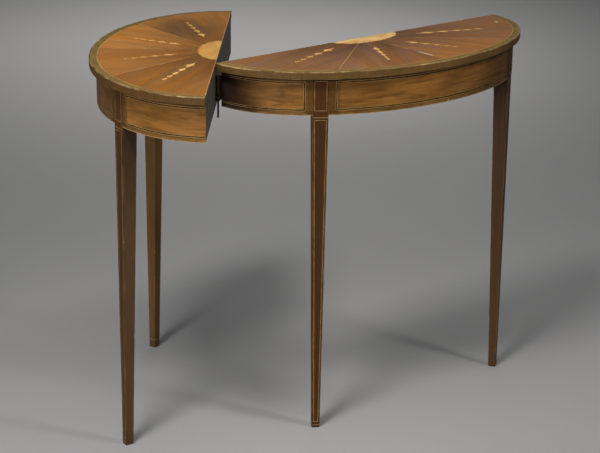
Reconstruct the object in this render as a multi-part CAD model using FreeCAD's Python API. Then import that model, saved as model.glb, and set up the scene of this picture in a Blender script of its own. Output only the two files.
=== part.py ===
import FreeCAD, Part
import math
import os

# Oval occasional table in two demilune halves, hinged at the corner where one half meets the other's back.
# Frame: +Z up, +Y along the left half's flat edge, origin under the middle of the pair, on the floor.
# A half is drawn with x along its flat edge, y out to its curved front and z up, then placed.

# Overall sizes of one half, in millimetres
table_height = 740.0
half_width = 381.0
top_depth = 255.0
spread_angle = 48.5

# Top
core_thickness = 13.5
veneer_thickness = 1.5
edge_band_width = 3.0
edge_rounding = 1.2
crossband_width = 12.0
border_string_width = 1.5
seam_string_width = 1.0
saw_kerf = 0.2
sector_count = 4

# Fan and husks let into the top
fan_half_width = 84.0
fan_depth = 43.0
fan_petal_count = 11
fan_eye_half_width = 14.0
fan_eye_depth = 8.0
husk_count = 5
husk_width = 25.0
husk_stem = 1.4
husk_shrink = 0.84
husk_spacing = 1.2
chain_start_share = 0.33
chain_end_share = 0.75

# Frame
overhang = 14.0
apron_height = 73.0
apron_thickness = 20.0
back_rail_thickness = 18.0
leg_width = 31.0
foot_width = 15.5
leg_proud = 1.0
leg_parameter = 45.0
tenon_thickness = 8.0
tenon_length = 10.0
tenon_shoulder = 10.0
tenon_root = 4.0
tenon_clearance = 0.15
bearer_width = 45.0
bearer_height = 20.0
corner_block_size = 60.0
corner_block_height = 24.0

# Stringing let into the aprons and legs
string_depth = 0.8
apron_light_width = 0.8
apron_dark_width = 2.0
apron_panel_top = 7.0
apron_panel_bottom = 9.0
apron_panel_side = 14.0
apron_edge_line = 1.2
leg_string_width = 1.0
leg_string_margin = 3.2
leg_band_drop = 2.5
leg_band_height = 3.0
leg_panel_head = 5.0
leg_panel_gap = 9.0
leg_panel_foot = 12.0
leg_cuff_height = 5.5

# Hinge
hinge_station = -113.0
hinge_height = 48.0
hinge_drop = 11.5
leaf_width = 40.0
leaf_thickness = 1.6
knuckle_radius = 4.0
knuckle_length = 15.0
knuckle_gap = 0.3
web_width = 3.2
pin_radius = 2.0
pin_clearance = 0.05
pin_head_radius = 3.2
pin_head_height = 2.5
pin_tail = 20.0
axis_to_tip = 4.5
tip_gap = 0.5

# Screws
screw_radius = 2.0
screw_head_radius = 4.0
screw_head_height = 2.4
screw_bite = 9.0
screw_clearance = 0.15
block_screw_inset = 20.0
block_screw_depth = 15.0
bearer_screw_shares = (0.25, 0.75)
leaf_screw_radius = 1.4
leaf_screw_head_radius = 2.6
leaf_screw_head_height = 1.0
leaf_screw_length = 12.0
leaf_screw_inset = 6.0

# Levels and outlines that follow from the sizes above
top_thickness = core_thickness + veneer_thickness
under_top = table_height - top_thickness
core_top = table_height - veneer_thickness
apron_bottom = under_top - apron_height
top_oval = (half_width, top_depth)
apron_oval = (half_width - overhang, top_depth - overhang)
dark_start = apron_light_width
dark_end = dark_start + apron_dark_width
panel_width = dark_end + apron_light_width

UP = FreeCAD.Vector(0, 0, 1)


def vec(x, y, z=0.0):
    return FreeCAD.Vector(x, y, z)


def inset(oval, distance):
    return (oval[0] - distance, oval[1] - distance)


def on_oval(oval, degrees):
    turn = math.radians(degrees)
    return vec(oval[0] * math.cos(turn), oval[1] * math.sin(turn))


def box(low, high):
    size = high - low
    return Part.makeBox(size.x, size.y, size.z, low)


def prism(points, low, height):
    corners = [vec(p[0], p[1], low) for p in points]
    return Part.Face(Part.makePolygon(corners + corners[:1])).extrude(UP * height)


def half_oval(oval, low, height):
    arc = Part.Ellipse(vec(0, 0, low), oval[0], oval[1]).toShape(0, math.pi)
    chord = Part.makeLine(vec(-oval[0], 0, low), vec(oval[0], 0, low))
    return Part.Face(Part.Wire([arc, chord])).extrude(UP * height)


def half_ring(outer, inner, low, height):
    return half_oval(outer, low, height).cut(half_oval(inner, low, height))


def cylinder(radius, height, base, axis=UP):
    return Part.makeCylinder(radius, height, base, axis)


def turned(shape, degrees, place):
    moved = shape.copy()
    moved.rotate(vec(0, 0), UP, degrees)
    moved.translate(place)
    return moved


def cut_all(shape, tools):
    return shape.cut(Part.makeCompound(tools)) if tools else shape


def group(shapes):
    return Part.makeCompound([solid for shape in shapes for solid in shape.Solids])


def leg_place(side):
    # Angle and point that put a leg, drawn with its front face at y = 0, on the curve of the apron.
    parameter = leg_parameter if side > 0 else 180.0 - leg_parameter
    spot = on_oval(apron_oval, parameter)
    normal = vec(spot.x / apron_oval[0] ** 2, spot.y / apron_oval[1] ** 2).normalize()
    angle = math.degrees(math.atan2(normal.y, normal.x)) - 90.0
    return angle, spot + normal * leg_proud


def at_legs(shape):
    return [turned(shape, *leg_place(side)) for side in (1, -1)]


# Top: core, edge band, crossband, string, veneers and inlays

def edge_band():
    ring = half_ring(top_oval, inset(top_oval, edge_band_width), under_top, top_thickness)
    rims = []
    for edge in ring.Edges:
        middle = edge.valueAt((edge.FirstParameter + edge.LastParameter) / 2)
        level = edge.BoundBox.ZLength < edge_rounding
        if level and abs(middle.x) < edge_rounding and middle.y > top_depth - edge_band_width / 2:
            rims.append(edge)
    return ring.makeFillet(edge_rounding, rims)


core_oval = inset(top_oval, edge_band_width + saw_kerf)
crossband_inner = inset(core_oval, crossband_width)
border_outer = inset(crossband_inner, saw_kerf)
border_inner = inset(border_outer, border_string_width)
field_oval = inset(border_inner, saw_kerf)
fan_oval = (fan_half_width, fan_depth)
eye_oval = (fan_eye_half_width, fan_eye_depth)
fan_pocket = inset(fan_oval, -saw_kerf)


def veneer(outline_oval):
    return half_oval(outline_oval, core_top, veneer_thickness)


def radial_strip(degrees, width):
    # A straight strip from the middle of the flat edge to beyond the border.
    start = vec(0, 0)
    end = on_oval(top_oval, degrees)
    across = vec(-end.y, end.x).normalize() * (width / 2)
    corners = [start - across, end - across, end + across, start + across]
    return prism([(c.x, c.y) for c in corners], core_top, veneer_thickness)


def edge_angle(share):
    # Angle on the oval at a share of the length of its curved edge.
    edge = Part.Ellipse(vec(0, 0), *top_oval).toShape(0, math.pi)
    return math.degrees(edge.getParameterByLength(edge.Length * share))


seam_angles = [edge_angle(step / sector_count) for step in range(1, sector_count)]
chain_angles = [edge_angle((step + 0.5) / sector_count) for step in range(sector_count)]


def husk_face(length, width, base, along):
    # A bellflower: thin stem, two flared side petals and a longer middle petal.
    across = vec(-along.y, along.x)
    stem = husk_stem / husk_width / 2

    def spot(s, w):
        return base + along * (s * length) + across * (w * width) + UP * core_top

    def arc(first, middle, last):
        return Part.Arc(spot(*first), spot(*middle), spot(*last)).toShape()

    edges = [
        arc((0.0, stem), (0.42, 0.16), (0.74, 0.5)),
        Part.makeLine(spot(0.74, 0.5), spot(0.66, 0.22)),
        arc((0.66, 0.22), (0.86, 0.17), (1.0, 0.0)),
        arc((1.0, 0.0), (0.86, -0.17), (0.66, -0.22)),
        Part.makeLine(spot(0.66, -0.22), spot(0.74, -0.5)),
        arc((0.74, -0.5), (0.42, -0.16), (0.0, -stem)),
        Part.makeLine(spot(0.0, -stem), spot(0.0, stem)),
    ]
    return Part.Face(Part.Wire(edges))


def husk_faces():
    faces = []
    shares = [husk_shrink ** step for step in range(husk_count)]
    for degrees in chain_angles:
        start = on_oval(top_oval, degrees) * chain_start_share
        end = on_oval(top_oval, degrees) * chain_end_share
        along = (end - start).normalize()
        first = ((end - start).Length - husk_spacing * (husk_count - 1)) / sum(shares)
        reach = 0.0
        for share in shares:
            faces.append(husk_face(first * share, husk_width * share, start + along * reach, along))
            reach += first * share + husk_spacing
    return faces


def fan_inlay():
    eye = veneer(inset(eye_oval, saw_kerf))
    petal_zone = half_ring(fan_oval, eye_oval, core_top, veneer_thickness)
    reach = fan_half_width + fan_depth
    petals = []
    for step in range(fan_petal_count):
        first, last = [math.pi * (step + end) / fan_petal_count for end in (0, 1)]
        corners = [(0, 0)]
        for turn in (first, last):
            corners.append((reach * math.cos(turn), reach * math.sin(turn)))
        petals.append(petal_zone.common(prism(corners, core_top, veneer_thickness)))
    return group([eye] + petals)


def top_parts():
    husks = husk_faces()
    pockets = [face.makeOffset2D(saw_kerf).extrude(UP * veneer_thickness) for face in husks]
    field = half_ring(field_oval, fan_pocket, core_top, veneer_thickness)
    strips = [radial_strip(degrees, seam_string_width) for degrees in seam_angles]
    return {
        "top_core": half_oval(core_oval, under_top, core_thickness),
        "edge_band": edge_band(),
        "crossband": half_ring(core_oval, crossband_inner, core_top, veneer_thickness),
        "border_string": half_ring(border_outer, border_inner, core_top, veneer_thickness),
        "field_veneers": cut_all(field, strips + pockets),
        "seam_strings": group([strip.common(field) for strip in strips]),
        "fan_inlay": fan_inlay(),
        "husk_inlays": group([face.extrude(UP * veneer_thickness) for face in husks]),
    }


# Legs, drawn with the front face at y = 0 and the middle of that face at x = 0

def leg_half_width(z):
    share = min(max(z / apron_bottom, 0.0), 1.0)
    return (foot_width + (leg_width - foot_width) * share) / 2


def section(z):
    half = leg_half_width(z)
    return [vec(-half, -2 * half, z), vec(half, -2 * half, z), vec(half, 0, z), vec(-half, 0, z)]


def tapered(low, high):
    bottom = section(low)
    top = section(high)
    faces = [Part.Face(Part.makePolygon(ring + ring[:1])) for ring in (bottom, top)]
    for step in range(len(bottom)):
        following = (step + 1) % len(bottom)
        corners = [bottom[step], bottom[following], top[following], top[step]]
        faces.append(Part.Face(Part.makePolygon(corners + corners[:1])))
    solid = Part.Solid(Part.Shell(faces))
    solid.fix(1e-6, 1e-6, 1e-6)
    return solid


def tenon_box(side, clearance):
    # A tenon beside the leg on one side, running from the apron into the leg.
    middle = -(leg_proud + apron_thickness / 2)
    deep = leg_width / 2 - tenon_length - clearance
    root = leg_width / 2 + tenon_root
    half = tenon_thickness / 2 + clearance
    low = vec(min(side * deep, side * root), middle - half, apron_bottom + tenon_shoulder - clearance)
    high = vec(max(side * deep, side * root), middle + half, under_top - tenon_shoulder + clearance)
    return box(low, high)


def front_frame(low, high, margin):
    # A frame of one string on the front face, following the taper.
    def outline(step):
        across = margin + step
        left = [(-(leg_half_width(z) - across), z) for z in (low + step, high - step)]
        right = [(leg_half_width(z) - across, z) for z in (high - step, low + step)]
        corners = [vec(x, 0, z) for x, z in left + right]
        return Part.Face(Part.makePolygon(corners + corners[:1]))

    frame = outline(0).cut(outline(leg_string_width))
    return frame.extrude(vec(0, -string_depth, 0))


def front_strip(low, height):
    half_low = leg_half_width(low)
    half_high = leg_half_width(low + height)
    corners = [(-half_low, low), (half_low, low), (half_high, low + height), (-half_high, low + height)]
    outline = [vec(x, 0, z) for x, z in corners]
    face = Part.Face(Part.makePolygon(outline + outline[:1]))
    return face.extrude(vec(0, -string_depth, 0))


def leg_strings():
    return [
        front_frame(apron_bottom + leg_panel_gap, under_top - leg_panel_head, leg_string_margin),
        front_frame(leg_panel_foot, apron_bottom - leg_panel_gap, leg_string_margin),
        front_strip(leg_cuff_height, leg_string_width),
    ]


def leg_band():
    return front_strip(apron_bottom - leg_band_drop - leg_band_height, leg_band_height)


def leg():
    stile = box(vec(-leg_width / 2, -leg_width, apron_bottom), vec(leg_width / 2, 0, under_top))
    body = stile.fuse(tapered(0.0, apron_bottom)).removeSplitter()
    mortises = [tenon_box(side, tenon_clearance) for side in (1, -1)]
    return cut_all(body, mortises + leg_strings() + [leg_band()])


# Aprons, back rail and what stands inside the frame

apron_inner = inset(apron_oval, apron_thickness)
inside_oval = inset(apron_inner, saw_kerf)


def leg_clearance(margin):
    # The room that the two legs take out of the apron, widened by a margin on each side.
    half = leg_width / 2 + margin
    reach = leg_width + margin
    return at_legs(box(vec(-half, -reach, 0.0), vec(half, reach, table_height)))


def apron_panel(step, depth):
    # The skin of the aprons inside the panel lines, drawn in by a step.
    low = apron_bottom + apron_panel_bottom + step
    high = under_top - apron_panel_top - step
    skin = half_ring(apron_oval, inset(apron_oval, depth), low, high - low)
    return cut_all(skin, leg_clearance(apron_panel_side + step))


def apron_string(first, last, depth):
    return apron_panel(first, depth).cut(apron_panel(last, depth + saw_kerf))


def edge_line(depth):
    skin = half_ring(apron_oval, inset(apron_oval, depth), apron_bottom, apron_edge_line)
    return cut_all(skin, leg_clearance(0.0))


def rail_tenon(side, clearance):
    end = inside_oval[0]
    low_x, high_x = sorted((side * (end - 2 * tenon_root), side * (end + tenon_length + clearance)))
    half = tenon_thickness / 2 + clearance
    middle = back_rail_thickness / 2
    low = vec(low_x, middle - half, apron_bottom + tenon_shoulder - clearance)
    high = vec(high_x, middle + half, under_top - tenon_shoulder + clearance)
    return box(low, high)


def aprons():
    ring = half_ring(apron_oval, apron_inner, apron_bottom, apron_height)
    groove_depth = string_depth + saw_kerf
    grooves = [apron_string(0.0, panel_width, groove_depth), edge_line(groove_depth)]
    rail_mortises = [rail_tenon(side, tenon_clearance) for side in (1, -1)]
    pieces = cut_all(ring, leg_clearance(0.0) + rail_mortises).Solids
    pieces.sort(key=lambda solid: solid.CenterOfMass.x)
    far_end, centre, near_end = pieces
    for side in (1, -1):
        angle, place = leg_place(side)
        outward = turned(tenon_box(side, 0.0), angle, place)
        inward = turned(tenon_box(-side, 0.0), angle, place)
        centre = centre.fuse(inward)
        if side > 0:
            near_end = near_end.fuse(outward)
        else:
            far_end = far_end.fuse(outward)
    named = {"apron_tip_end": near_end, "apron_centre": centre, "apron_free_end": far_end}
    return {name: cut_all(shape, grooves) for name, shape in named.items()}


def back_rail():
    low = vec(-half_width, 0, apron_bottom)
    board = box(low, vec(half_width, back_rail_thickness, under_top))
    rail = board.common(half_oval(inside_oval, apron_bottom, apron_height))
    for side in (1, -1):
        rail = rail.fuse(rail_tenon(side, 0.0))
    return rail.removeSplitter()


def bearer():
    low = vec(-bearer_width / 2, back_rail_thickness, under_top - bearer_height)
    bar = box(low, vec(bearer_width / 2, top_depth, under_top))
    return bar.common(half_oval(inside_oval, apron_bottom, apron_height))


def corner_block(side):
    corner = inside_oval[0]
    low = under_top - corner_block_height
    near = back_rail_thickness
    points = [
        (side * corner, near),
        (side * (corner - corner_block_size), near),
        (side * corner, near + corner_block_size),
    ]
    wedge = prism(points, low, corner_block_height)
    return wedge.common(half_oval(inside_oval, low, corner_block_height))


def top_screws():
    # Screws up through the bearer and the corner blocks into the core, with the bores that they take.
    block_x = inside_oval[0] - block_screw_inset
    block_y = back_rail_thickness + block_screw_depth
    length = apron_inner[1] - back_rail_thickness
    spots = [(side * block_x, block_y, corner_block_height) for side in (1, -1)]
    spots += [(0.0, back_rail_thickness + length * share, bearer_height) for share in bearer_screw_shares]
    screws = []
    bores = []
    for x, y, thickness in spots:
        seat = vec(x, y, under_top - thickness)
        shank = thickness + screw_bite
        head = cylinder(screw_head_radius, screw_head_height, seat - UP * screw_head_height)
        screws.append(head.fuse(cylinder(screw_radius, shank, seat)))
        bores.append(cylinder(screw_radius + screw_clearance, shank + screw_clearance, seat))
    return screws, bores


# Hinge: one leaf on the left half's back rail, one at the right half's corner, and a long pin

hinge_low = under_top - hinge_drop - hinge_height
hinge_high = hinge_low + hinge_height
left_axis = vec(hinge_station, -(axis_to_tip + tip_gap))
spread = math.radians(spread_angle)
right_axis = vec(half_width - axis_to_tip * math.sin(spread), axis_to_tip * math.cos(spread))
outer_levels = [(hinge_low, hinge_low + knuckle_length), (hinge_high - knuckle_length, hinge_high)]
middle_levels = [(hinge_low + knuckle_length + knuckle_gap, hinge_high - knuckle_length - knuckle_gap)]


def leaf_screws(spots):
    # Countersunk leaf screws along +y, with the bores that they take in the leaf and the wood.
    screws = []
    bores = []
    into = vec(0, 1)
    for x, z in spots:
        face = vec(x, 0, z)
        head = cylinder(leaf_screw_head_radius, leaf_screw_head_height, face, into)
        screws.append(head.fuse(cylinder(leaf_screw_radius, leaf_screw_length, face, into)))
        sunk = cylinder(leaf_screw_head_radius + saw_kerf, leaf_screw_head_height, face, into)
        shank_radius = leaf_screw_radius + screw_clearance
        shank = cylinder(shank_radius, leaf_screw_length + screw_clearance, face, into)
        bores.append(sunk.fuse(shank))
    return screws, bores


def leaf(axis, plate_low, plate_high, web_low, web_high, levels):
    # A flush plate with its knuckles, bored for the pin: sizes along x, with the plate at the back face.
    plate = box(vec(plate_low, 0, hinge_low), vec(plate_high, leaf_thickness, hinge_high))
    body = plate.copy()
    for low, high in levels:
        web = box(vec(web_low, min(axis.y, 0), low), vec(web_high, leaf_thickness, high))
        barrel = cylinder(knuckle_radius, high - low, axis + UP * low)
        body = body.fuse(web).fuse(barrel)
    bore = cylinder(pin_radius + pin_clearance, hinge_height, axis + UP * hinge_low)
    return plate, body.cut(bore).removeSplitter()


def screw_spots(first_x, last_x):
    columns = (first_x + leaf_screw_inset, last_x - leaf_screw_inset)
    rows = (hinge_low + leaf_screw_inset, hinge_high - leaf_screw_inset)
    return [(x, z) for x in columns for z in rows]


def left_hinge():
    start = left_axis.x - web_width / 2
    end = left_axis.x + leaf_width
    plate, body = leaf(left_axis, start, end, start, start + web_width, outer_levels)
    screws, bores = leaf_screws(screw_spots(left_axis.x + web_width, end))
    return plate, cut_all(body, bores), screws, bores


def right_hinge():
    end = right_axis.x - knuckle_radius - web_width / 2
    start = end - leaf_width
    plate, body = leaf(right_axis, start, end, end, right_axis.x, middle_levels)
    screws, bores = leaf_screws(screw_spots(start, apron_oval[0]))
    return plate, cut_all(body, bores), screws, bores


def hinge_pin():
    low = apron_bottom - pin_tail
    shank = cylinder(pin_radius, hinge_high - low, left_axis + UP * low)
    head = cylinder(pin_head_radius, pin_head_height, left_axis + UP * hinge_high)
    return shank.fuse(head).removeSplitter()


def half_table(hinge):
    plate, leaf_body, leaf_fixings, leaf_bores = hinge
    parts = top_parts()
    parts.update(aprons())
    screws, bores = top_screws()
    near_leg, far_leg = at_legs(leg())
    parts["back_rail"] = back_rail()
    parts["leg_tip_side"] = near_leg
    parts["leg_free_side"] = far_leg
    parts["leg_strings"] = group([turned(s, *leg_place(side)) for side in (1, -1) for s in leg_strings()])
    parts["leg_bands"] = group(at_legs(leg_band()))
    outer_light = apron_string(0.0, dark_start, string_depth)
    inner_light = apron_string(dark_end, panel_width, string_depth)
    parts["apron_light_strings"] = group([outer_light, inner_light, edge_line(string_depth)])
    parts["apron_dark_strings"] = group([apron_string(dark_start, dark_end, string_depth)])
    parts["bearer"] = cut_all(bearer(), bores)
    parts["corner_blocks"] = group([cut_all(corner_block(side), bores) for side in (1, -1)])
    parts["top_core"] = cut_all(parts["top_core"], bores)
    parts["top_screws"] = group(screws)
    for name in ("back_rail", "apron_tip_end", "apron_light_strings", "apron_dark_strings"):
        parts[name] = cut_all(parts[name], [plate] + leaf_bores)
    parts["hinge_leaf"] = leaf_body
    parts["hinge_screws"] = group(leaf_fixings)
    return parts


# The left half stands with its flat edge along +Y, and the right half's corner meets it at the hinge
left_turn = 90.0
right_turn = left_turn + 180.0 - spread_angle
left_spot = vec(0, 0)
pivot = turned(Part.Vertex(left_axis), left_turn, left_spot).Point
right_spot = pivot - turned(Part.Vertex(right_axis), right_turn, vec(0, 0)).Point

model = {}
for name, shape in half_table(left_hinge()).items():
    model["left_" + name] = turned(shape, left_turn, left_spot)
for name, shape in half_table(right_hinge()).items():
    model["right_" + name] = turned(shape, right_turn, right_spot)
model["hinge_pin"] = turned(hinge_pin(), left_turn, left_spot)

extent = Part.makeCompound(list(model.values())).optimalBoundingBox(True, False)
shift = vec(-extent.Center.x, -extent.Center.y)
os.makedirs("parts", exist_ok=True)
for name, shape in model.items():
    placed = shape.copy()
    placed.translate(shift)
    placed.exportStep("parts/" + name + ".step")
    print(name, len(placed.Solids), "solids", round(placed.Volume), "mm3", placed.isValid())
axis_spot = pivot + shift
print("seam angles", [round(angle, 3) for angle in seam_angles])
print("hinge axis", round(axis_spot.x, 4), round(axis_spot.y, 4))
print("left middle", round(left_spot.x + shift.x, 4), round(left_spot.y + shift.y, 4))
print("right middle", round(right_spot.x + shift.x, 4), round(right_spot.y + shift.y, 4))
print("extent", round(extent.XLength, 2), round(extent.YLength, 2), round(extent.ZLength, 2))
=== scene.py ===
import math

import bpy
from mathutils import Matrix, Vector


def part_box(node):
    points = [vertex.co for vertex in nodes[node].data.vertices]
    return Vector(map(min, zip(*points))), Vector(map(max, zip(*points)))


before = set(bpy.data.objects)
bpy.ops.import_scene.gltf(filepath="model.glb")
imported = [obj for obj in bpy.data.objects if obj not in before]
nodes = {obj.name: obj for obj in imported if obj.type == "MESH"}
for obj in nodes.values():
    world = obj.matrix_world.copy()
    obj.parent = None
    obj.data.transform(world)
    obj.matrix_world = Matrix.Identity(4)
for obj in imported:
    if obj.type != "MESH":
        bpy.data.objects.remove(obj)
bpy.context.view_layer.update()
print("stage: frame loaded,", len(nodes), "nodes")


# Each half: turn of its flat edge in degrees, colour of its veneer, and gains of its sectors from the tip end
halves = {
    "left": {"turn": 90.0, "base": (0.278, 0.112, 0.0215), "gains": (1.06, 1.33, 1.02, 0.75)},
    "right": {"turn": 221.5, "base": (0.189, 0.086, 0.034), "gains": (1.00, 1.03, 1.33, 1.12)},
}


def planOf(side):
    turn = math.radians(halves[side]["turn"])
    unturn = Matrix.Rotation(-turn, 3, "Z")
    spots = [unturn @ v.co for v in nodes[side + "_edge_band"].data.vertices]
    low = min(p.x for p in spots)
    high = max(p.x for p in spots)
    flat = min(p.y for p in spots)
    middle = Matrix.Rotation(turn, 3, "Z") @ Vector(((low + high) / 2, flat, 0))
    return {
        "turn": turn,
        "middle": middle,
        "halfWidth": (high - low) / 2,
        "depth": max(p.y for p in spots) - flat,
        "top": max(p.z for p in spots),
    }


plans = {side: planOf(side) for side in halves}
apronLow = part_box("left_apron_centre")[0].z
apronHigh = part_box("left_apron_centre")[1].z


# Shader maths: a wire wraps a socket, and a finish makes every node of one material
class Wire:
    def __init__(self, finish, socket):
        self.finish = finish
        self.socket = socket

    def math(self, operation, *others):
        return self.finish.node("Math", {"operation": operation}, [self, *others])

    def __add__(self, other):
        return self.math("ADD", other)

    def __sub__(self, other):
        return self.math("SUBTRACT", other)

    def __mul__(self, other):
        return self.math("MULTIPLY", other)

    def __truediv__(self, other):
        return self.math("DIVIDE", other)

    def __rsub__(self, other):
        return self.finish.node("Math", {"operation": "SUBTRACT"}, [other, self])

    def __rtruediv__(self, other):
        return self.finish.node("Math", {"operation": "DIVIDE"}, [other, self])

    __radd__ = __add__
    __rmul__ = __mul__


class Finish:
    def __init__(self, name):
        self.material = bpy.data.materials.new(name)
        self.material.use_nodes = True
        self.tree = self.material.node_tree
        self.tree.nodes.clear()
        self.shader = self.tree.nodes.new("ShaderNodeBsdfPrincipled")
        output = self.tree.nodes.new("ShaderNodeOutputMaterial")
        self.tree.links.new(self.shader.outputs["BSDF"], output.inputs["Surface"])

    def node(self, kind, settings=None, sockets=(), out=0):
        made = self.tree.nodes.new("ShaderNode" + kind)
        for key, value in (settings or {}).items():
            if key == "stops":
                self.setStops(made.color_ramp, value)
            elif key == "steps":
                self.setStops(made.color_ramp, value)
                made.color_ramp.interpolation = "CONSTANT"
            else:
                setattr(made, key, value)
        pairs = sockets.items() if isinstance(sockets, dict) else enumerate(sockets)
        for key, value in pairs:
            self.feed(made.inputs[key], value)
        return Wire(self, made.outputs[out])

    def setStops(self, ramp, stops):
        ramp.elements.remove(ramp.elements[1])
        ramp.elements[0].position = stops[0][0]
        ramp.elements[0].color = (*stops[0][1], 1.0)
        for place, colour in stops[1:]:
            ramp.elements.new(place).color = (*colour, 1.0)

    def feed(self, socket, value):
        if isinstance(value, Wire):
            self.tree.links.new(value.socket, socket)
        elif socket.type == "RGBA":
            socket.default_value = (*value, 1.0)
        else:
            socket.default_value = value

    def shade(self, **sockets):
        for key, value in sockets.items():
            spaced = "".join(" " + c if c.isupper() else c for c in key)
            name = spaced.title().replace("Ior", "IOR")
            self.feed(self.shader.inputs[name], value)
        return self.material


def objectPlace(f, middle=(0, 0, 0), turn=0.0):
    place = f.node("TexCoord", out="Object")
    sockets = {"Vector": place, "Location": middle, "Rotation": (0, 0, turn)}
    moved = f.node("Mapping", {"vector_type": "TEXTURE"}, sockets)
    return [f.node("SeparateXYZ", None, [moved], out) for out in range(3)]


# Noise at a spot, with a scale for each way; a third way without a scale is a layer
def noise(f, spot, scales, detail=3.0, rough=0.55, distort=0.0):
    scales = (*scales, 1.0)[:3]
    ways = [way if scale == 1.0 else way * scale for way, scale in zip(spot, scales)]
    vector = f.node("CombineXYZ", None, ways)
    sockets = {"Vector": vector, "Scale": 1.0, "Detail": detail, "Roughness": rough, "Distortion": distort}
    return f.node("TexNoise", None, sockets)


def between(f, value, low, high, first=0.0, last=1.0):
    return f.node("MapRange", {"interpolation_type": "SMOOTHSTEP"}, [value, low, high, first, last])


def mix(f, share, first, second, kind="MIX"):
    settings = {"data_type": "RGBA", "blend_type": kind}
    return f.node("Mix", settings, {0: share, 6: first, 7: second}, 2)


def tint(f, share, colour, factors):
    return mix(f, share, colour, factors, "MULTIPLY")


# A second colour laid on where a value rises through a look's cut
def blotch(f, colour, value, look):
    return mix(f, between(f, value, *look["cut"]) * look["share"], colour, look["colour"])


def gain(f, colour, amount):
    return f.node("VectorMath", {"operation": "SCALE"}, {"Vector": colour, "Scale": amount})


# Gains along a value, in a smooth ramp or in steps; a ramp holds one at most, so they are halved in it
def gainsAlong(f, value, gains, kind="stops"):
    stops = [(place, (amount / 2,) * 3) for place, amount in gains]
    return f.node("RGBToBW", None, [f.node("ValToRGB", {kind: stops}, [value])]) * 2.0


def bump(f, height, distance, strength):
    return f.node("Bump", None, {"Strength": strength, "Distance": distance, "Height": height})


def scaled(colour, factor):
    return tuple(channel * factor for channel in colour)


def hypot(x, y):
    return (x * x + y * y).math("SQRT")


# Length along a curve of some radius, from a turn in degrees
def arc(angle, radius):
    return angle * math.radians(radius)


# Any wood: detail, roughness and distortion of its noises, and the share of the spread at each stop of its tone
woodLook = {
    "broad": (2.0, 0.5, 0.6), "streak": (4.0, 0.6, 0.25), "pore": (2.0, 0.6), "poreCut": (0.56, 0.70),
    "stops": ((0.26, (-1.0, -1.0, -1.0)), (0.46, (-0.25, -0.25, -0.25)),
              (0.58, (0.25, 0.25, 0.25)), (0.76, (1.0, 1.15, 1.2))),
    "poreShade": 0.3,
}


# Broad figure, streaks and pores of one wood, along and across its fibres, in metres
def grain(f, along, across, layer, look):
    spot = [along, across, layer]
    broad = noise(f, spot, look["broad"], *woodLook["broad"])
    streak = noise(f, spot, look["streak"], *woodLook["streak"])
    pores = noise(f, spot, look["pore"], *woodLook["pore"])
    tone = broad * look["broadShare"] + streak * (1.0 - look["broadShare"])
    return tone, between(f, pores, *woodLook["poreCut"])


def woodColour(f, tone, pores, base, look):
    stops = []
    for place, shares in woodLook["stops"]:
        stops.append((place, tuple(c * (1.0 + look["spread"] * share) for c, share in zip(base, shares))))
    colour = f.node("ValToRGB", {"stops": stops}, [tone])
    return mix(f, pores * look["poreDepth"], colour, scaled(base, woodLook["poreShade"]))


# Where a point lies in a half's oval plan: along, out, height, share of the oval, and turn in degrees
def ovalPlace(f, side):
    plan = plans[side]
    x, y, z = objectPlace(f, plan["middle"], plan["turn"])
    shareX = x / plan["halfWidth"]
    shareY = y / plan["depth"]
    angle = shareY.math("ARCTAN2", shareX) * (180.0 / math.pi)
    return x, y, z, hypot(shareX, shareY), angle


# Veneered field, cut in sectors that run out from the fan
fieldLook = {
    "sectors": 4, "seamGuess": 70.0, "layers": {"left": 1.0, "right": 23.0}, "layerStep": 3.7,
    "broad": (5.0, 44.0), "streak": (10.0, 240.0), "pore": (55.0, 1500.0), "broadShare": 0.5,
    "spread": 0.32, "poreDepth": 0.35,
    "glow": (0.25, 0.85, 0.78, 1.14),  # from and to share of the oval, first and last gain
    "hue": {"scales": (4.0, 48.0), "cut": (0.36, 0.64),
            "orange": (1.08, 0.99, 0.72), "mauve": (0.93, 1.0, 1.32)},
    # dusk: darker mauve patch in the left far sector, partly darker veneer and partly a painted sheen
    "dusk": {"side": "left", "spot": (0.185, 0.085), "squash": 1.5, "reach": (0.063, 0.18), "rag": 0.05,
             "otherSectors": 0.25, "share": 0.9, "tint": (0.50, 0.61, 1.02)},
    "warm": {"side": "right", "turn": 98.0, "turns": (22.0, 46.0), "shares": (0.58, 0.86), "rag": 0.1,
             "share": 0.9, "tint": (1.03, 0.94, 0.64)},
    "fanShadow": {"scales": (14.0, 60.0), "rag": 0.12, "shares": (0.22, 0.46),
                  "seamRag": 0.2, "seam": (0.22, 0.56), "share": 0.55, "shade": 0.3},
    "worn": {"scales": (9.0, 9.0), "cut": (0.52, 0.72), "share": 0.2, "colour": (0.46, 0.21, 0.06)},
    "scratch": {"scales": (3.0, 900.0), "cut": (0.70, 0.76), "share": 0.2, "colour": (0.55, 0.36, 0.2)},
    "chip": {"side": "right", "spot": (-0.3285, 0.060), "reach": 0.0118, "core": 0.6,
             "scales": (300.0, 300.0), "share": 0.9, "colour": (0.84, 0.65, 0.40)},
    "rough": 0.34, "bump": (0.0004, 0.35),
    "gloss": {"coatWeight": 0.015, "coatRoughness": 0.18, "specularIorLevel": 0.12},
}


# Turn of the first seam on the oval, in degrees, read from the seam strings
def firstSeam(side):
    plan = plans[side]
    unturn = Matrix.Rotation(-plan["turn"], 3, "Z")
    spots = [unturn @ (v.co - plan["middle"]) for v in nodes[side + "_seam_strings"].data.vertices]
    turns = [math.degrees(math.atan2(p.y / plan["depth"], p.x / plan["halfWidth"])) for p in spots]
    turns = [turn for turn in turns if turn < fieldLook["seamGuess"]]
    return (min(turns) + max(turns)) / 2


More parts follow.
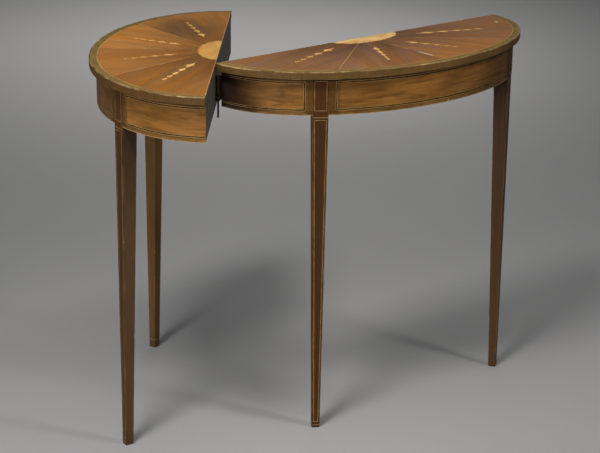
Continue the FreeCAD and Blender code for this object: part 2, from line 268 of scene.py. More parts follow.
# Sector of a point, its place along and across that sector's grain, and its part of the sector's turn
def sectorPlace(f, side, x, y, angle):
    plan = plans[side]
    step = 180.0 / fieldLook["sectors"]
    seam = firstSeam(side)
    bend = (seam - step) / math.sin(math.radians(2 * seam))
    even = (angle - (angle * (math.pi / 90.0)).math("SINE") * bend) / step
    sector = even.math("FLOOR")
    middle = (sector + 0.5) * math.radians(step)
    middleTurn = middle + (middle * 2.0).math("SINE") * math.radians(bend)
    outX = middleTurn.math("COSINE") * plan["halfWidth"]
    outY = middleTurn.math("SINE") * plan["depth"]
    length = hypot(outX, outY)
    along = (x * outX + y * outY) / length
    across = (y * outX - x * outY) / length
    return sector, along, across, even.math("FRACT")


# Pale chip along one seam, in metres out from the flat edge
seamDash = {
    "side": "right", "middle": 0.186, "halfLength": 0.021, "softEnd": 0.003,
    "halfWidth": 0.0013, "softSide": 0.0005, "scales": (160.0, 160.0), "rag": 0.0009,
    "share": 0.9, "colour": (0.85, 0.70, 0.46),
}


def dashShare(f, x, y):
    dash = seamDash
    off = (y - dash["middle"]).math("ABSOLUTE")
    ends = between(f, off, dash["halfLength"] - dash["softEnd"], dash["halfLength"], 1.0, 0.0)
    ragged = x.math("ABSOLUTE") + noise(f, [y, x, 2.0], dash["scales"]) * dash["rag"]
    sides = between(f, ragged, dash["halfWidth"], dash["halfWidth"] + dash["softSide"], dash["share"], 0.0)
    return ends * sides


# Pale rubbed wood along the flat edge of a top
flatEdgeLook = {
    "reach": (0.0004, 0.0018), "scales": (70.0, 70.0), "cut": (0.30, 0.56),
    "share": 0.55, "colour": (0.62, 0.44, 0.22),
}


def flatWear(f, x, y, colour):
    look = flatEdgeLook
    rag = noise(f, [x, y, 6.0], look["scales"], 4.0, 0.7)
    rubbed = between(f, y, *look["reach"], 1.0, 0.0) * between(f, rag, *look["cut"])
    return mix(f, rubbed * look["share"], colour, look["colour"])


def fieldFinish(side):
    look = fieldLook
    half = halves[side]
    f = Finish(side + "FieldVeneer")
    x, y, _, share, angle = ovalPlace(f, side)
    sector, along, across, part = sectorPlace(f, side, x, y, angle)
    layer = sector * look["layerStep"] + look["layers"][side]
    tone, pores = grain(f, along, across, layer, look)
    colour = woodColour(f, tone, pores, half["base"], look)

    # level of each sector, and patches of orange and mauve in it
    gains = [(index / look["sectors"], amount) for index, amount in enumerate(half["gains"])]
    level = gainsAlong(f, sector / look["sectors"] + 0.01, gains, "steps")
    colour = gain(f, colour, level * between(f, share, *look["glow"]))
    hue = noise(f, [along, across, layer + 5.0], look["hue"]["scales"])
    hueShare = between(f, hue, *look["hue"]["cut"])
    colour = tint(f, 1.0, colour, mix(f, hueShare, look["hue"]["orange"], look["hue"]["mauve"]))
    # darker veneer with a painted sheen in the left half's far sector
    dusk = look["dusk"]
    if side == dusk["side"]:
        away = hypot(x - dusk["spot"][0], (y - dusk["spot"][1]) * dusk["squash"])
        inFirst = between(f, sector, 0.4, 0.6, 1.0, dusk["otherSectors"])
        shaded = between(f, away + hue * dusk["rag"], *dusk["reach"], 1.0, 0.0) * inFirst
        colour = tint(f, shaded * dusk["share"], colour, dusk["tint"])
    warm = look["warm"]
    if side == warm["side"]:
        awayTurn = (angle - warm["turn"]).math("ABSOLUTE")
        nearRim = between(f, share + hue * warm["rag"], *warm["shares"])
        warmed = nearRim * between(f, awayTurn, *warm["turns"], 1.0, 0.0)
        colour = tint(f, warmed * warm["share"], colour, warm["tint"])

    # dark wood between the fan and the seams
    shadow = look["fanShadow"]
    rag = noise(f, [along, across, layer + 9.0], shadow["scales"])
    nearFan = between(f, share + rag * shadow["rag"], *shadow["shares"], 1.0, 0.0)
    nearSeam = between(f, (part - 0.5).math("ABSOLUTE") + rag * shadow["seamRag"], *shadow["seam"])
    colour = mix(f, nearFan * nearSeam * shadow["share"], colour, scaled(half["base"], shadow["shade"]))

    # wear, scratches and chips
    worn = noise(f, [x, y, layer], look["worn"]["scales"], 4.0, 0.65)
    colour = blotch(f, colour, worn, look["worn"])
    scratch = noise(f, [along, across, 4.0], look["scratch"]["scales"], 1.0)
    scratches = between(f, scratch, *look["scratch"]["cut"])
    colour = mix(f, scratches * look["scratch"]["share"], colour, look["scratch"]["colour"])
    colour = flatWear(f, x, y, colour)
    chip = look["chip"]
    if side == chip["side"]:
        away = hypot(x - chip["spot"][0], y - chip["spot"][1])
        ragged = away + noise(f, [x, y, 8.0], chip["scales"], 4.0) * chip["reach"]
        chipped = between(f, ragged, chip["reach"] * chip["core"], chip["reach"], chip["share"], 0.0)
        colour = mix(f, chipped, colour, chip["colour"])
    if side == seamDash["side"]:
        colour = mix(f, dashShare(f, x, y), colour, seamDash["colour"])
    rough = look["rough"] + worn * 0.16 + pores * 0.1
    height = tone * 0.25 - pores * 0.6 - scratches * 0.4
    return f.shade(baseColor=colour, roughness=rough, normal=bump(f, height, *look["bump"]), **look["gloss"])


# Fan of petals, each scorched down one side and at its rim
fanLook = {
    "petals": 11, "halfWidth": 0.084, "depth": 0.043,
    "base": {"left": (0.59, 0.32, 0.088), "right": (0.76, 0.50, 0.175)}, "spread": 0.22, "poreDepth": 0.2,
    "broad": (8.0, 40.0), "streak": (20.0, 260.0), "pore": (80.0, 1600.0), "broadShare": 0.5, "turnSize": 0.06,
    "cloud": {"scales": (22.0, 30.0), "cut": (0.42, 0.66), "share": 0.7, "colour": (0.56, 0.20, 0.03)},
    "ray": {"scales": (16.0, 9.0), "cut": (0.54, 0.72), "share": 0.5, "colour": (0.336, 0.12, 0.018)},
    "scorch": {"scales": (160.0, 160.0), "rag": 0.3, "colour": (0.17, 0.07, 0.02),
               "side": (0.10, 0.42), "sideFade": (0.15, 0.75, 0.6, 0.22),
               "rim": (0.92, 1.03), "rimCorner": (0.12, 0.34), "rimShare": 0.8,
               "eye": (0.18, 0.34), "eyeShare": 0.15},
    "rough": 0.34, "bump": (0.0004, 0.35),
    "gloss": {"coatWeight": 0.02, "coatRoughness": 0.2, "specularIorLevel": 0.12},
}


def fanFinish(side):
    look = fanLook
    f = Finish(side + "FanInlay")
    x, y = ovalPlace(f, side)[:2]
    turn = y.math("ARCTAN2", x)
    part = (turn * (look["petals"] / math.pi)).math("FRACT")
    fanShare = hypot(x / look["halfWidth"], y / look["depth"])
    reach = hypot(x, y)
    tone, pores = grain(f, reach, turn * look["turnSize"], 2.0, look)
    colour = woodColour(f, tone, pores, look["base"][side], look)
    colour = blotch(f, colour, noise(f, [x, y, 5.0], look["cloud"]["scales"]), look["cloud"])
    colour = blotch(f, colour, noise(f, [turn, reach, 3.0], look["ray"]["scales"], 3.0, 0.6), look["ray"])
    scorch = look["scorch"]
    rag = noise(f, [x, y, 1.0], scorch["scales"]) * scorch["rag"]
    petalSide = between(f, part + rag * 0.5, *scorch["side"], 1.0, 0.0)
    corner = between(f, (part - 0.5).math("ABSOLUTE"), *scorch["rimCorner"])
    rim = between(f, fanShare + rag * 0.2, *scorch["rim"]) * corner
    eye = between(f, fanShare, *scorch["eye"], 1.0, 0.0)
    burn = petalSide * between(f, fanShare, *scorch["sideFade"])
    burn = burn.math("MAXIMUM", rim * scorch["rimShare"]).math("MAXIMUM", eye * scorch["eyeShare"])
    colour = mix(f, burn, colour, scorch["colour"])
    colour = flatWear(f, x, y, colour)
    height = tone * 0.2 - burn * 0.2 - pores * 0.4
    return f.shade(baseColor=colour, roughness=look["rough"] + tone * 0.1,
                   normal=bump(f, height, *look["bump"]), **look["gloss"])


# Husks, pale with a scorched side
huskLook = {
    "base": (0.70, 0.40, 0.13), "spread": 0.25, "poreDepth": 0.2,
    "broad": (12.0, 60.0), "streak": (30.0, 300.0), "pore": (90.0, 1600.0), "broadShare": 0.5,
    "scorch": {"scales": (220.0, 220.0), "rag": 0.004, "cut": (0.0012, 0.005), "share": 0.5,
               "colour": (0.24, 0.095, 0.025)},
    "rough": 0.36, "bump": (0.0003, 0.3),
    "gloss": {"coatWeight": 0.02, "coatRoughness": 0.2, "specularIorLevel": 0.12},
}


def huskFinish(side):
    look = huskLook
    f = Finish(side + "HuskInlay")
    x, y, _, _, angle = ovalPlace(f, side)
    sector, along, across, _ = sectorPlace(f, side, x, y, angle)
    tone, pores = grain(f, along, across, sector, look)
    colour = woodColour(f, tone, pores, look["base"], look)
    rag = noise(f, [x, y, 3.0], look["scorch"]["scales"]) * look["scorch"]["rag"]
    colour = blotch(f, colour, across + rag, look["scorch"])
    return f.shade(baseColor=colour, roughness=look["rough"] + tone * 0.1,
                   normal=bump(f, tone - pores, *look["bump"]), **look["gloss"])


# Crossband round the top, with its grain square to the edge
crossbandLook = {
    "base": (0.182, 0.115, 0.029), "spread": 0.45, "poreDepth": 0.4, "radius": 0.31,
    "broad": (14.0, 30.0), "streak": (14.0, 420.0), "pore": (50.0, 1900.0), "broadShare": 0.45,
    "dirt": {"scales": (60.0, 60.0), "cut": (0.5, 0.75), "share": 0.45, "colour": (0.08, 0.05, 0.022)},
    "rim": {"rag": 0.012, "cut": (0.985, 1.0), "share": 0.45, "colour": (0.36, 0.25, 0.11)},
    "rough": 0.36, "bump": (0.0004, 0.4),
    "gloss": {"coatWeight": 0.015, "coatRoughness": 0.25, "specularIorLevel": 0.12},
}


def crossbandFinish(side):
    look = crossbandLook
    f = Finish(side + "Crossband")
    x, y, _, share, angle = ovalPlace(f, side)
    tone, pores = grain(f, share * look["radius"], arc(angle, look["radius"]), 5.0, look)
    colour = woodColour(f, tone, pores, look["base"], look)
    dirt = noise(f, [x, y, 2.0], look["dirt"]["scales"], 4.0)
    colour = blotch(f, colour, dirt, look["dirt"])
    colour = blotch(f, colour, share + dirt * look["rim"]["rag"], look["rim"])
    return f.shade(baseColor=colour, roughness=look["rough"] + dirt * 0.2,
                   normal=bump(f, tone - pores, *look["bump"]), **look["gloss"])


# Edge band, with worn pale arrises that are partly a painted highlight; its rise gives the turns and gains
# between which it grows paler, painted light on the right half from its front to its far end
edgeLook = {
    "bases": {"left": (0.102, 0.050, 0.0125), "right": (0.128, 0.067, 0.019)},
    "rise": {"left": (45.0, 85.0, 1.0, 1.0), "right": (45.0, 85.0, 0.92, 1.3)},
    "spread": 0.4, "poreDepth": 0.4, "radius": 0.31,
    "broad": (10.0, 24.0), "streak": (25.0, 380.0), "pore": (60.0, 1800.0), "broadShare": 0.4,
    # pale arrises: wear, and partly a painted highlight
    "arris": {"scales": (28.0, 90.0), "high": (0.0006, 0.0024), "highCut": (0.40, 0.66),
              "low": (0.0126, 0.0146), "lowCut": (0.5, 0.7), "lowShare": 0.5,
              "most": 0.9, "colour": (0.42, 0.29, 0.13)},
    "grime": {"scales": (12.0, 20.0), "cut": (0.5, 0.7), "share": 0.4, "colour": (0.06, 0.035, 0.014)},
    "rough": 0.48, "bump": (0.0008, 0.4),
    "gloss": {"coatWeight": 0.01, "coatRoughness": 0.3, "specularIorLevel": 0.15},
}


def edgeFinish(side):
    look = edgeLook
    f = Finish(side + "EdgeBand")
    _, _, z, _, angle = ovalPlace(f, side)
    around = arc(angle, look["radius"])
    tone, pores = grain(f, z, around, 7.0, look)
    colour = woodColour(f, tone, pores, look["bases"][side], look)
    # painted light: the right half's edge band is painted paler from its front to its far end
    colour = gain(f, colour, between(f, angle, *look["rise"][side]))
    # worn pale arrises, partly a painted highlight along the edge
    arris = look["arris"]
    wear = noise(f, [around, z, 1.0], arris["scales"], 5.0, 0.7)
    below = plans[side]["top"] - z
    high = between(f, below, *arris["high"], 1.0, 0.0) * between(f, wear, *arris["highCut"])
    low = between(f, below, *arris["low"]) * between(f, wear, *arris["lowCut"]) * arris["lowShare"]
    colour = mix(f, (high + low).math("MINIMUM", arris["most"]), colour, arris["colour"])
    colour = blotch(f, colour, noise(f, [around, z, 9.0], look["grime"]["scales"]), look["grime"])
    height = wear * 0.6 + tone * 0.3 - pores * 0.4
    return f.shade(baseColor=colour, roughness=look["rough"] + wear * 0.2,
                   normal=bump(f, height, *look["bump"]), **look["gloss"])


# Apron veneer, figured along the curve, darker beside the legs, with painted shade towards the tip; its gains
# go by share of the half turn and mix the veneer's tone with painted light and shade along the curve
apronLook = {
    "base": (0.220, 0.095, 0.020), "spread": 0.6, "poreDepth": 0.4, "radius": 0.31, "legTurn": 45.0,
    "layers": {"left": 11.0, "right": 31.0},
    "broad": (9.0, 60.0), "streak": (12.0, 260.0), "pore": (40.0, 1500.0), "broadShare": 0.55,
    # gains along the curve: veneer tone mixed with painted light and shade
    "gains": {
        "left": ((0.0, 1.0), (0.40, 0.72), (0.70, 0.72), (0.76, 1.10), (1.0, 1.22)),
        "right": ((0.0, 0.96), (0.22, 1.18), (0.36, 1.08), (0.46, 1.68), (0.56, 1.40),
                  (0.66, 0.72), (1.0, 0.74)),
    },
    "cloud": {"scales": (15.0, 70.0), "cut": (0.46, 0.72), "share": 0.6, "colour": (0.0748, 0.0323, 0.0068)},
    "besideLeg": {"rag": 0.006, "cut": (0.030, 0.042, 1.0, 0.0), "share": 0.7,
                  "colour": (0.0594, 0.02565, 0.0054)},
    # painted shade towards the tip
    "tip": {"rag": 12.0, "turns": (12.0, 34.0), "shares": {"left": 0.15, "right": 0.96},
            "colour": (0.029, 0.015, 0.012)},
    "lowStrip": {"rise": (0.008, 0.0105), "tint": (0.66, 0.70, 0.76)},
    "wear": (40.0, 60.0),
    "lowEdge": {"rise": (0.0012, 0.006), "cut": (0.42, 0.6), "share": 0.4, "colour": (0.36, 0.24, 0.11)},
    "chip": {"side": "right", "turn": 92.0, "rise": 0.003, "reach": 0.004, "core": 0.6, "rag": 0.0032,
             "share": 0.85, "colour": (0.5, 0.32, 0.16)},
    "rough": 0.36, "bump": (0.0004, 0.35),
    "gloss": {"coatWeight": 0.015, "coatRoughness": 0.22, "specularIorLevel": 0.15},
}


# Painted shadow in the corner under the top's overhang
shadowUnderTopLook = {"depth": (0.0055, 0.0105), "rag": 0.004, "share": 0.85, "colour": (0.014, 0.008, 0.004)}


def paintedShadowUnderTop(f, z, wear, colour):
    look = shadowUnderTopLook
    near = between(f, apronHigh - z + wear * look["rag"], *look["depth"], 1.0, 0.0)
    return mix(f, near * look["share"], colour, look["colour"])


def apronFinish(side):
    look = apronLook
    f = Finish(side + "ApronVeneer")
    _, _, z, _, angle = ovalPlace(f, side)
    around = arc(angle, look["radius"])
    layer = look["layers"][side]
    tone, pores = grain(f, around, z, layer, look)
    colour = woodColour(f, tone, pores, look["base"], look)
    # painted light and shade along the curve, mixed with the veneer's tone
    colour = gain(f, colour, gainsAlong(f, angle / 180.0, look["gains"][side]))
    cloud = noise(f, [around, z, layer + 2.0], look["cloud"]["scales"], 4.0, 0.6, 0.8)
    colour = blotch(f, colour, cloud, look["cloud"])

    # darker beside the legs, and painted shade towards the tip, where the apron meets the other half
    toLeg = ((angle - 90.0).math("ABSOLUTE") - (90.0 - look["legTurn"])).math("ABSOLUTE")
    beside = look["besideLeg"]
    colour = blotch(f, colour, arc(toLeg, look["radius"]) + cloud * beside["rag"], beside)
    tip = look["tip"]
    nearTip = between(f, angle + cloud * tip["rag"], *tip["turns"], 1.0, 0.0)
    colour = mix(f, nearTip * tip["shares"][side], colour, tip["colour"])

    # strip under the lower string, rubbed low edge, painted shadow under the top, and a chip
    rise = z - apronLow
    strip = look["lowStrip"]
    colour = tint(f, between(f, rise, *strip["rise"], 1.0, 0.0), colour, strip["tint"])
    wear = noise(f, [around, z, 4.0], look["wear"], 5.0, 0.7)
    edge = look["lowEdge"]
    rubbed = between(f, rise, *edge["rise"], 1.0, 0.0) * between(f, wear, *edge["cut"])
    colour = mix(f, rubbed * edge["share"], colour, edge["colour"])
    # painted shadow under the top's overhang
    colour = paintedShadowUnderTop(f, z, wear, colour)
    chip = look["chip"]
    if side == chip["side"]:
        away = hypot(arc(angle - chip["turn"], look["radius"]), rise - chip["rise"])
        ragged = away + wear * chip["rag"]
        chipped = between(f, ragged, chip["reach"] * chip["core"], chip["reach"], chip["share"], 0.0)
        colour = mix(f, chipped, colour, chip["colour"])
    height = tone * 0.3 - pores * 0.5
    return f.shade(baseColor=colour, roughness=look["rough"] + cloud * 0.14,
                   normal=bump(f, height, *look["bump"]), **look["gloss"])


# Legs, with grain up the leg, rubbed edges that are partly a painted highlight, and feet darker towards the
# floor; sizes in metres
legLook = {
    "bases": {
        # the left tip leg is painted lighter than the others: painted light that it gets from the left
        "leftTip": (0.146, 0.075, 0.024), "leftFree": (0.086, 0.045, 0.019),
        "rightTip": (0.080, 0.038, 0.015), "rightFree": (0.082, 0.039, 0.015),
    },
    "layers": {"leftTip": 3.0, "leftFree": 10.0, "rightTip": 17.0, "rightFree": 24.0},
    "legTurn": 45.0, "proud": 0.001, "overhang": 0.014, "top": 0.031, "foot": 0.0155,
    "spread": 0.26, "poreDepth": 0.45,
    "broad": (1.6, 90.0), "streak": (4.0, 420.0), "pore": (30.0, 1600.0), "broadShare": 0.4,
    "front": {"depth": (-0.0009, -0.0003), "tint": (0.70, 0.58, 0.41)},
    "shade": {"reach": 0.16, "tint": (0.60, 0.68, 0.82)},
    "stile": {"reach": 0.004, "tint": (1.32, 1.2, 1.06)},
    "wear": (60.0, 60.0, 14.0),
    # pale rubbed edges: wear, and partly a painted edge highlight
    "rubbed": {"reach": (0.0006, 0.0022), "cut": (0.42, 0.62), "share": 0.5, "colour": (0.24, 0.13, 0.045)},
    "nick": {"reach": (0.0006, 0.0016), "scales": (90.0, 90.0, 60.0), "cut": (0.62, 0.70), "share": 0.8,
             "colour": (0.52, 0.38, 0.22)},
    "footLine": {"leg": "leftTip", "rise": 0.0195, "rag": 0.002, "width": (0.00055, 0.0011), "share": 0.85,
                 "colour": (0.40, 0.27, 0.10)},
    "footDarkening": {"rag": 0.03, "cut": (0.012, 0.06, 1.0, 0.0), "share": 0.5, "colour": (0.05, 0.028, 0.016)},
    "rough": 0.38, "bump": (0.0005, 0.4),
    "gloss": {"coatWeight": 0.01, "coatRoughness": 0.25, "specularIorLevel": 0.12},
}


# Middle of a leg's outer face on the floor, and the turn of that face
def legSpot(side, where):
    plan = plans[side]
    look = legLook
    turn = math.radians(look["legTurn"] if where == "tip" else 180.0 - look["legTurn"])
    a = plan["halfWidth"] - look["overhang"]
    b = plan["depth"] - look["overhang"]
    spot = Vector((a * math.cos(turn), b * math.sin(turn), 0))
    normal = Vector((spot.x / a ** 2, spot.y / b ** 2, 0)).normalized()
    spot += normal * look["proud"]
    place = plan["middle"] + Matrix.Rotation(plan["turn"], 3, "Z") @ spot
    return place, plan["turn"] + math.atan2(normal.y, normal.x) - math.pi / 2


def legFinish(side, where):
    look = legLook
    leg = side + where.title()
    f = Finish(leg + "Leg")
    place, turn = legSpot(side, where)
    x, y, z = objectPlace(f, place, turn)
    tone, pores = grain(f, z, x + y * 0.8, look["layers"][leg], look)
    colour = woodColour(f, tone, pores, look["bases"][leg], look)

    # outer face, sides in the shade of the apron, and stile beside the apron
    front = between(f, y, *look["front"]["depth"])
    colour = tint(f, front, colour, look["front"]["tint"])
    shaded = between(f, z, apronLow - look["shade"]["reach"], apronLow) * (1.0 - front)
    colour = tint(f, shaded, colour, look["shade"]["tint"])
    stile = between(f, z, apronLow - look["stile"]["reach"], apronLow)
    colour = tint(f, stile, colour, look["stile"]["tint"])

    # rubbed and nicked arrises, by the distance to the nearest one of the tapered leg; the pale rubbed edges
    # are wear and partly a painted highlight
    rise = (z / apronLow).math("MINIMUM", 1.0)
    halfSide = rise * ((look["top"] - look["foot"]) / 2) + look["foot"] / 2
    toSide = halfSide - x.math("ABSOLUTE")
    toArris = toSide.math("MAXIMUM", halfSide - (y + halfSide).math("ABSOLUTE"))
    wear = noise(f, [x, y, z], look["wear"], 5.0, 0.7)
    rubbed = between(f, toArris, *look["rubbed"]["reach"], 1.0, 0.0) * between(f, wear, *look["rubbed"]["cut"])
    colour = mix(f, rubbed * look["rubbed"]["share"], colour, look["rubbed"]["colour"])
    nick = look["nick"]
    nicks = between(f, noise(f, [x, y, z], nick["scales"]), *nick["cut"])
    nicks = between(f, toArris, *nick["reach"], 1.0, 0.0) * nicks
    colour = mix(f, nicks * nick["share"], colour, nick["colour"])

    # pale line at one foot, painted shadow under the top, and feet darker towards the floor
    line = look["footLine"]
    if leg == line["leg"]:
        offLine = (z + wear * line["rag"] - line["rise"]).math("ABSOLUTE")
        colour = mix(f, between(f, offLine, *line["width"], line["share"], 0.0), colour, line["colour"])
    # painted shadow under the top's overhang
    colour = paintedShadowUnderTop(f, z, wear, colour)
    # darker towards the floor
    colour = blotch(f, colour, z + wear * look["footDarkening"]["rag"], look["footDarkening"])
    height = tone * 0.3 - pores * 0.6 - rubbed * 0.3
    return f.shade(baseColor=colour, roughness=look["rough"] + wear * 0.18,
                   normal=bump(f, height, *look["bump"]), **look["gloss"])


# Light and dark stringing
stringLooks = {
    "borderString": {"base": (0.42, 0.28, 0.11), "dirt": (0.16, 0.09, 0.028)},
    "seamString": {"base": (0.56, 0.34, 0.13), "dirt": (0.22, 0.10, 0.03)},
    "apronString": {"base": (0.40, 0.255, 0.092), "dirt": (0.17, 0.092, 0.026)},
    "legString": {"base": (0.36, 0.205, 0.07), "dirt": (0.15, 0.072, 0.022)},
}
stringWear = {
    "patch": (70.0, 70.0, 70.0), "patchCut": (0.44, 0.70), "patchShare": 0.85,
    "fine": (400.0, 400.0, 400.0), "fineCut": (0.5, 0.7), "fineShare": 0.3, "fineShade": 0.6,
    "rough": 0.42, "bump": (0.0003, 0.3), "specular": 0.12,
}
darkLook = {
    "base": (0.003, 0.002, 0.0015), "scales": (90.0, 90.0, 90.0),
    "rough": 0.46, "bump": (0.0003, 0.3), "specular": 0.06,
    "rubbed": {"cut": (0.54, 0.78), "share": 0.6, "colour": (0.02, 0.011, 0.005)},
}


def lightStringFinish(kind, side):
    look = stringLooks[kind]
    wear = stringWear
    f = Finish(side + kind[0].upper() + kind[1:])
    x, y, z = objectPlace(f, plans[side]["middle"], plans[side]["turn"])
    patch = noise(f, [x, y, z], wear["patch"], 4.0, 0.65)
    fine = noise(f, [x, y, z], wear["fine"], 2.0)
    colour = mix(f, between(f, patch, *wear["patchCut"]) * wear["patchShare"], look["base"], look["dirt"])
    fineShare = between(f, fine, *wear["fineCut"]) * wear["fineShare"]
    colour = mix(f, fineShare, colour, scaled(look["base"], wear["fineShade"]))
    if kind == "seamString" and side == seamDash["side"]:
        colour = mix(f, dashShare(f, x, y), colour, seamDash["colour"])
    return f.shade(baseColor=colour, roughness=wear["rough"] + patch * 0.15,
                   normal=bump(f, fine, *wear["bump"]), specularIorLevel=wear["specular"])


def darkStringFinish():
    look = darkLook
    f = Finish("darkString")
    patch = noise(f, objectPlace(f), look["scales"], 4.0, 0.65)
    colour = blotch(f, look["base"], patch, look["rubbed"])
    return f.shade(baseColor=colour, roughness=look["rough"] + patch * 0.2,
                   normal=bump(f, patch, *look["bump"]), specularIorLevel=look["specular"])


# Plain woods: band across the legs, top core, back rail with painted shade beside the hinge, and the pale
# pieces inside the frame
plainWoods = {
    "legBand": {"base": (0.165, 0.085, 0.022), "spread": 0.4, "poreDepth": 0.5, "rough": 0.40,
                "broad": (20.0, 20.0), "streak": (20.0, 300.0), "pore": (60.0, 1500.0), "broadShare": 0.5},
    "topCore": {"base": (0.115, 0.066, 0.034), "spread": 0.4, "poreDepth": 0.5, "rough": 0.57,
                "broad": (3.0, 30.0), "streak": (5.0, 160.0), "pore": (25.0, 900.0), "broadShare": 0.5},
    "innerWood": {"base": (0.30, 0.19, 0.095), "spread": 0.35, "poreDepth": 0.5, "rough": 0.65,
                  "broad": (3.0, 34.0), "streak": (6.0, 150.0), "pore": (25.0, 900.0), "broadShare": 0.5},
    "backRail": {"base": (0.083, 0.081, 0.062), "spread": 0.5, "poreDepth": 0.5, "rough": 0.67,
                 "broad": (2.5, 26.0), "streak": (5.0, 140.0), "pore": (20.0, 800.0), "broadShare": 0.45,
                 # painted shade on the back rail beside the hinge, between the halves
                 "hingeShade": {"along": -0.03, "rag": 0.03, "reach": (0.0425, 0.085), "tint": (0.36, 0.38, 0.40)}},
}
plainWear = {
    "layers": {"left": 2.0, "right": 19.0}, "lean": 0.9, "bump": (0.0008, 0.5), "saw": (420.0, 6.0, 9.0),
    "stain": (11.0, 11.0, 18.0), "stainCut": (0.5, 0.72), "stainShare": 0.5, "stainShade": 0.45,
}


def plainFinish(kind, side):
    look = plainWoods[kind]
    wear = plainWear
    f = Finish(side + kind[0].upper() + kind[1:])
    x, y, z = objectPlace(f, plans[side]["middle"], plans[side]["turn"])
    tone, pores = grain(f, x, z + y * wear["lean"], wear["layers"][side], look)
    colour = woodColour(f, tone, pores, look["base"], look)
    stain = noise(f, [x, y, z], wear["stain"], 5.0, 0.65)
    stained = between(f, stain, *wear["stainCut"]) * wear["stainShare"]
    colour = mix(f, stained, colour, scaled(look["base"], wear["stainShade"]))
    # painted shade darkens the back rail near the hinge
    if "hingeShade" in look:
        hingeShade = look["hingeShade"]
        away = (x - hingeShade["along"]).math("ABSOLUTE") + stain * hingeShade["rag"]
        colour = tint(f, between(f, away, *hingeShade["reach"], 1.0, 0.0), colour, hingeShade["tint"])
    saw = noise(f, [x, y, z], wear["saw"], 1.0)
    height = tone * 0.4 - pores * 0.5 + saw * 0.3
    return f.shade(baseColor=colour, roughness=look["rough"] + stain * 0.15,
                   normal=bump(f, height, *wear["bump"]))


# Metals of the hinge and screws
metals = {
    "hingeBrass": {"base": (0.10, 0.07, 0.03), "stain": (0.03, 0.022, 0.014), "rough": 0.45},
    "screwSteel": {"base": (0.32, 0.31, 0.29), "stain": (0.10, 0.07, 0.05), "rough": 0.4},
    "pinIron": {"base": (0.10, 0.095, 0.09), "stain": (0.05, 0.035, 0.025), "rough": 0.5},
}
metalWear = {
    "patch": (160.0, 160.0, 160.0), "fine": (900.0, 900.0, 120.0), "cut": (0.42, 0.66), "share": 0.8,
    "bump": (0.0003, 0.3),
}


def metalFinish(kind):
    look = metals[kind]
    wear = metalWear
    f = Finish(kind)
    spot = objectPlace(f)
    patch = noise(f, spot, wear["patch"], 5.0, 0.65)
    fine = noise(f, spot, wear["fine"], 2.0)
    tarnish = between(f, patch, *wear["cut"])
    colour = mix(f, tarnish * wear["share"], look["base"], look["stain"])
    return f.shade(baseColor=colour, metallic=1.0 - tarnish * 0.5, roughness=look["rough"] + patch * 0.25,
                   normal=bump(f, fine + patch, *wear["bump"]))


def dress(node, material):
    slots = nodes[node].data.materials
    slots.clear()
    slots.append(material)


darkString = darkStringFinish()
hingeBrass = metalFinish("hingeBrass")
screwSteel = metalFinish("screwSteel")
for side in halves:
    dress(side + "_field_veneers", fieldFinish(side))
    dress(side + "_fan_inlay", fanFinish(side))
    dress(side + "_husk_inlays", huskFinish(side))
    dress(side + "_crossband", crossbandFinish(side))
    dress(side + "_edge_band", edgeFinish(side))
    apron = apronFinish(side)
    for part in ("apron_tip_end", "apron_centre", "apron_free_end"):
        dress(side + "_" + part, apron)
    for where in ("tip", "free"):
        dress(side + "_leg_" + where + "_side", legFinish(side, where))
    dress(side + "_border_string", lightStringFinish("borderString", side))
    dress(side + "_seam_strings", lightStringFinish("seamString", side))
    dress(side + "_leg_strings", lightStringFinish("legString", side))
    dress(side + "_apron_light_strings", lightStringFinish("apronString", side))
    dress(side + "_apron_dark_strings", darkString)
    dress(side + "_leg_bands", plainFinish("legBand", side))
    dress(side + "_top_core", plainFinish("topCore", side))
    dress(side + "_back_rail", plainFinish("backRail", side))
    inner = plainFinish("innerWood", side)
    for part in ("bearer", "corner_blocks"):
        dress(side + "_" + part, inner)
    dress(side + "_top_screws", screwSteel)
    for part in ("hinge_leaf", "hinge_screws"):
        dress(side + "_" + part, hingeBrass)
dress("hinge_pin", metalFinish("pinIron"))
print("stage: finishes on", len(bpy.data.materials), "materials")


# Floor, with a faint cloud in its colour
floorLook = {
    "reach": 12.0, "base": (0.303, 0.296, 0.291), "rough": 0.8,
    "cloud": {"scales": (0.9, 0.9), "cut": (0.3, 0.7), "share": 0.12, "colour": (0.2424, 0.2368, 0.2328)},
}


def makeFloor():
    look = floorLook
    bpy.ops.object.select_all(action="DESELECT")
    bpy.ops.mesh.primitive_plane_add(size=2 * look["reach"], location=(0, 0, 0))
    floor = bpy.context.object
    floor.name = "studioFloor"
    f = Finish("studioFloor")
    x, y, _ = objectPlace(f)
    cloud = noise(f, [x, y, 0.0], look["cloud"]["scales"], 2.0)
    colour = blotch(f, look["base"], cloud, look["cloud"])
    floor.data.materials.append(f.shade(baseColor=colour, roughness=look["rough"]))


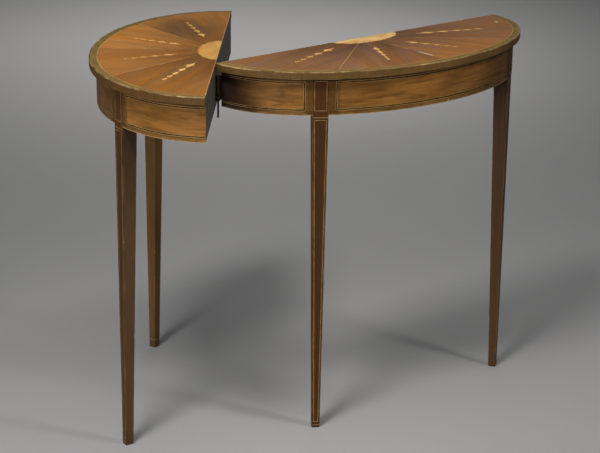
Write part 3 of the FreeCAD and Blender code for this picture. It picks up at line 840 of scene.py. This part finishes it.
# Soft round lights; those that aren't glossy light the floor and the back, and leave no sheen
lights = {
    "overheadLight": {"place": (0.0, -0.5, 3.4), "aim": (0.0, -0.3, 0.0),
                      "size": 1.6, "power": 4.0, "spread": 80.0, "glossy": True},
    "keyLight": {"place": (-0.75, -1.45, 3.1), "aim": (-0.1, -0.35, 0.2),
                 "size": 0.75, "power": 13.2, "spread": 80.0, "glossy": True},
    "fillLight": {"place": (2.1, -1.1, 3.1), "aim": (0.1, -0.2, 0.2),
                  "size": 0.5, "power": 5.4, "spread": 80.0, "glossy": True},
    "frontLight": {"place": (-1.7, -3.9, 1.5), "aim": (-0.1, 0.0, 0.6),
                   "size": 1.6, "power": 9.6, "spread": 60.0, "glossy": True},
    "floorLight": {"place": (0.0, -2.4, 2.4), "aim": (0.0, -0.9, 0.0),
                   "size": 1.0, "power": 1.3, "spread": 50.0, "glossy": True},
    "farLight": {"place": (-0.4, 3.3, 2.6), "aim": (-0.4, 3.3, 0.0),
                 "size": 1.6, "power": 26.0, "spread": 100.0, "glossy": False},
    "backLight": {"place": (0.3, 4.2, 0.9), "aim": (0.0, 0.2, 0.5),
                  "size": 1.6, "power": 4.0, "spread": 50.0, "glossy": False},
    "nearFloorLight": {"place": (0.0, -4.1, 2.6), "aim": (0.0, -4.1, 0.0),
                       "size": 1.6, "power": 30.0, "spread": 100.0, "glossy": False},
    "leftFloorLight": {"place": (-3.7, -0.4, 2.6), "aim": (-3.7, -0.4, 0.0),
                       "size": 1.6, "power": 30.0, "spread": 100.0, "glossy": False},
    "rightFloorLight": {"place": (3.7, -0.4, 2.6), "aim": (3.7, -0.4, 0.0),
                        "size": 1.6, "power": 30.0, "spread": 100.0, "glossy": False},
}
worldLook = {"colour": (0.9, 0.95, 1.0), "strength": 0.10}


def makeLights():
    for name, look in lights.items():
        data = bpy.data.lights.new(name, "AREA")
        data.shape = "DISK"
        data.size = look["size"]
        data.energy = look["power"]
        data.spread = math.radians(look["spread"])
        lamp = bpy.data.objects.new(name, data)
        lamp.location = look["place"]
        ray = Vector(look["aim"]) - Vector(look["place"])
        lamp.rotation_euler = ray.to_track_quat("-Z", "Y").to_euler()
        lamp.visible_glossy = look["glossy"]
        lamp.visible_camera = False
        bpy.context.scene.collection.objects.link(lamp)
    world = bpy.data.worlds.new("studioLight")
    bpy.context.scene.world = world
    world.use_nodes = True
    background = world.node_tree.nodes["Background"]
    background.inputs["Color"].default_value = (*worldLook["colour"], 1.0)
    background.inputs["Strength"].default_value = worldLook["strength"]


# Camera fitted to the photograph: place in metres, lens and sensor in millimetres, turns in degrees
cameraLook = {
    "place": (0.0647, -3.5692, 1.5612), "lens": 110.27, "sensor": 36.0, "reach": 60.0,
    "yaw": 1.313, "pitch": 18.417, "roll": 0.72,
}


def makeCamera():
    look = cameraLook
    data = bpy.data.cameras.new("photoCamera")
    data.lens = look["lens"]
    data.sensor_width = look["sensor"]
    data.clip_end = look["reach"]
    camera = bpy.data.objects.new("photoCamera", data)
    turn = Matrix.Rotation(math.radians(look["yaw"]), 4, "Z")
    tilt = Matrix.Rotation(math.radians(90.0 - look["pitch"]), 4, "X")
    roll = Matrix.Rotation(math.radians(look["roll"]), 4, "Z")
    camera.matrix_world = Matrix.Translation(look["place"]) @ turn @ tilt @ roll
    bpy.context.scene.collection.objects.link(camera)
    bpy.context.scene.camera = camera


bpy.context.scene.view_settings.view_transform = "Standard"
makeFloor()
makeLights()
makeCamera()
print("stage: floor, lights and camera set")
